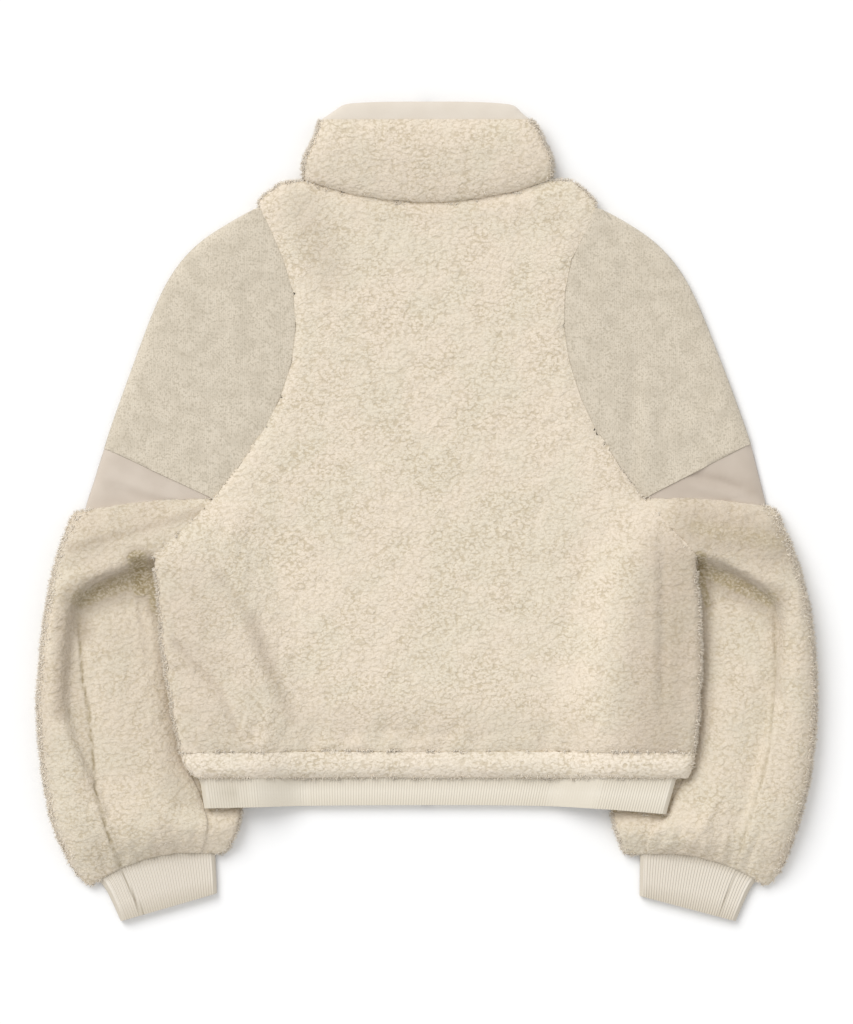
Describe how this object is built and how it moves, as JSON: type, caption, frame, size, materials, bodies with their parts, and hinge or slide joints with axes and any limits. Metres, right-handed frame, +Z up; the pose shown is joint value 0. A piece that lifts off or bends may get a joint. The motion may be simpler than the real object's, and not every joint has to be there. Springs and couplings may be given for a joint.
{
  "type": "reversible fleece bomber jacket",
  "caption": "Cropped reversible bomber jacket in curly fleece, with knit shoulder panels, a stand collar and ribbed cuffs and hem, laid flat on its front with its back up.",
  "frame": {"origin": "on the surface that the jacket lies on, under the middle of its outline", "axes": "+Z up from the surface, +Y towards the collar, +X to the right of the back as laid out"},
  "size_m": [0.781, 0.82, 0.0398],
  "materials": {
    "fleece": "cream curly pile fleece",
    "heather_knit": "fine heathered knit",
    "smooth_cloth": "smooth woven lining cloth",
    "rib_knit": "ribbed knit",
    "zip_tape": "woven zip tape",
    "zip_metal": "satin zip slider"
  },
  "bodies": {
    "root": {"back_panel": "fleece", "front_left": "fleece", "front_right": "fleece", "sleeve_left": "fleece", "sleeve_right": "fleece", "collar": "fleece", "hem_band": "fleece", "shoulder_left": "heather_knit", "shoulder_right": "heather_knit", "elbow_left": "smooth_cloth", "elbow_right": "smooth_cloth", "collar_facing": "smooth_cloth", "cuff_left": "rib_knit", "cuff_right": "rib_knit", "hem_rib": "rib_knit", "zip_chain": "zip_tape", "zip_slider": "zip_metal"}
  },
  "joints": []
}
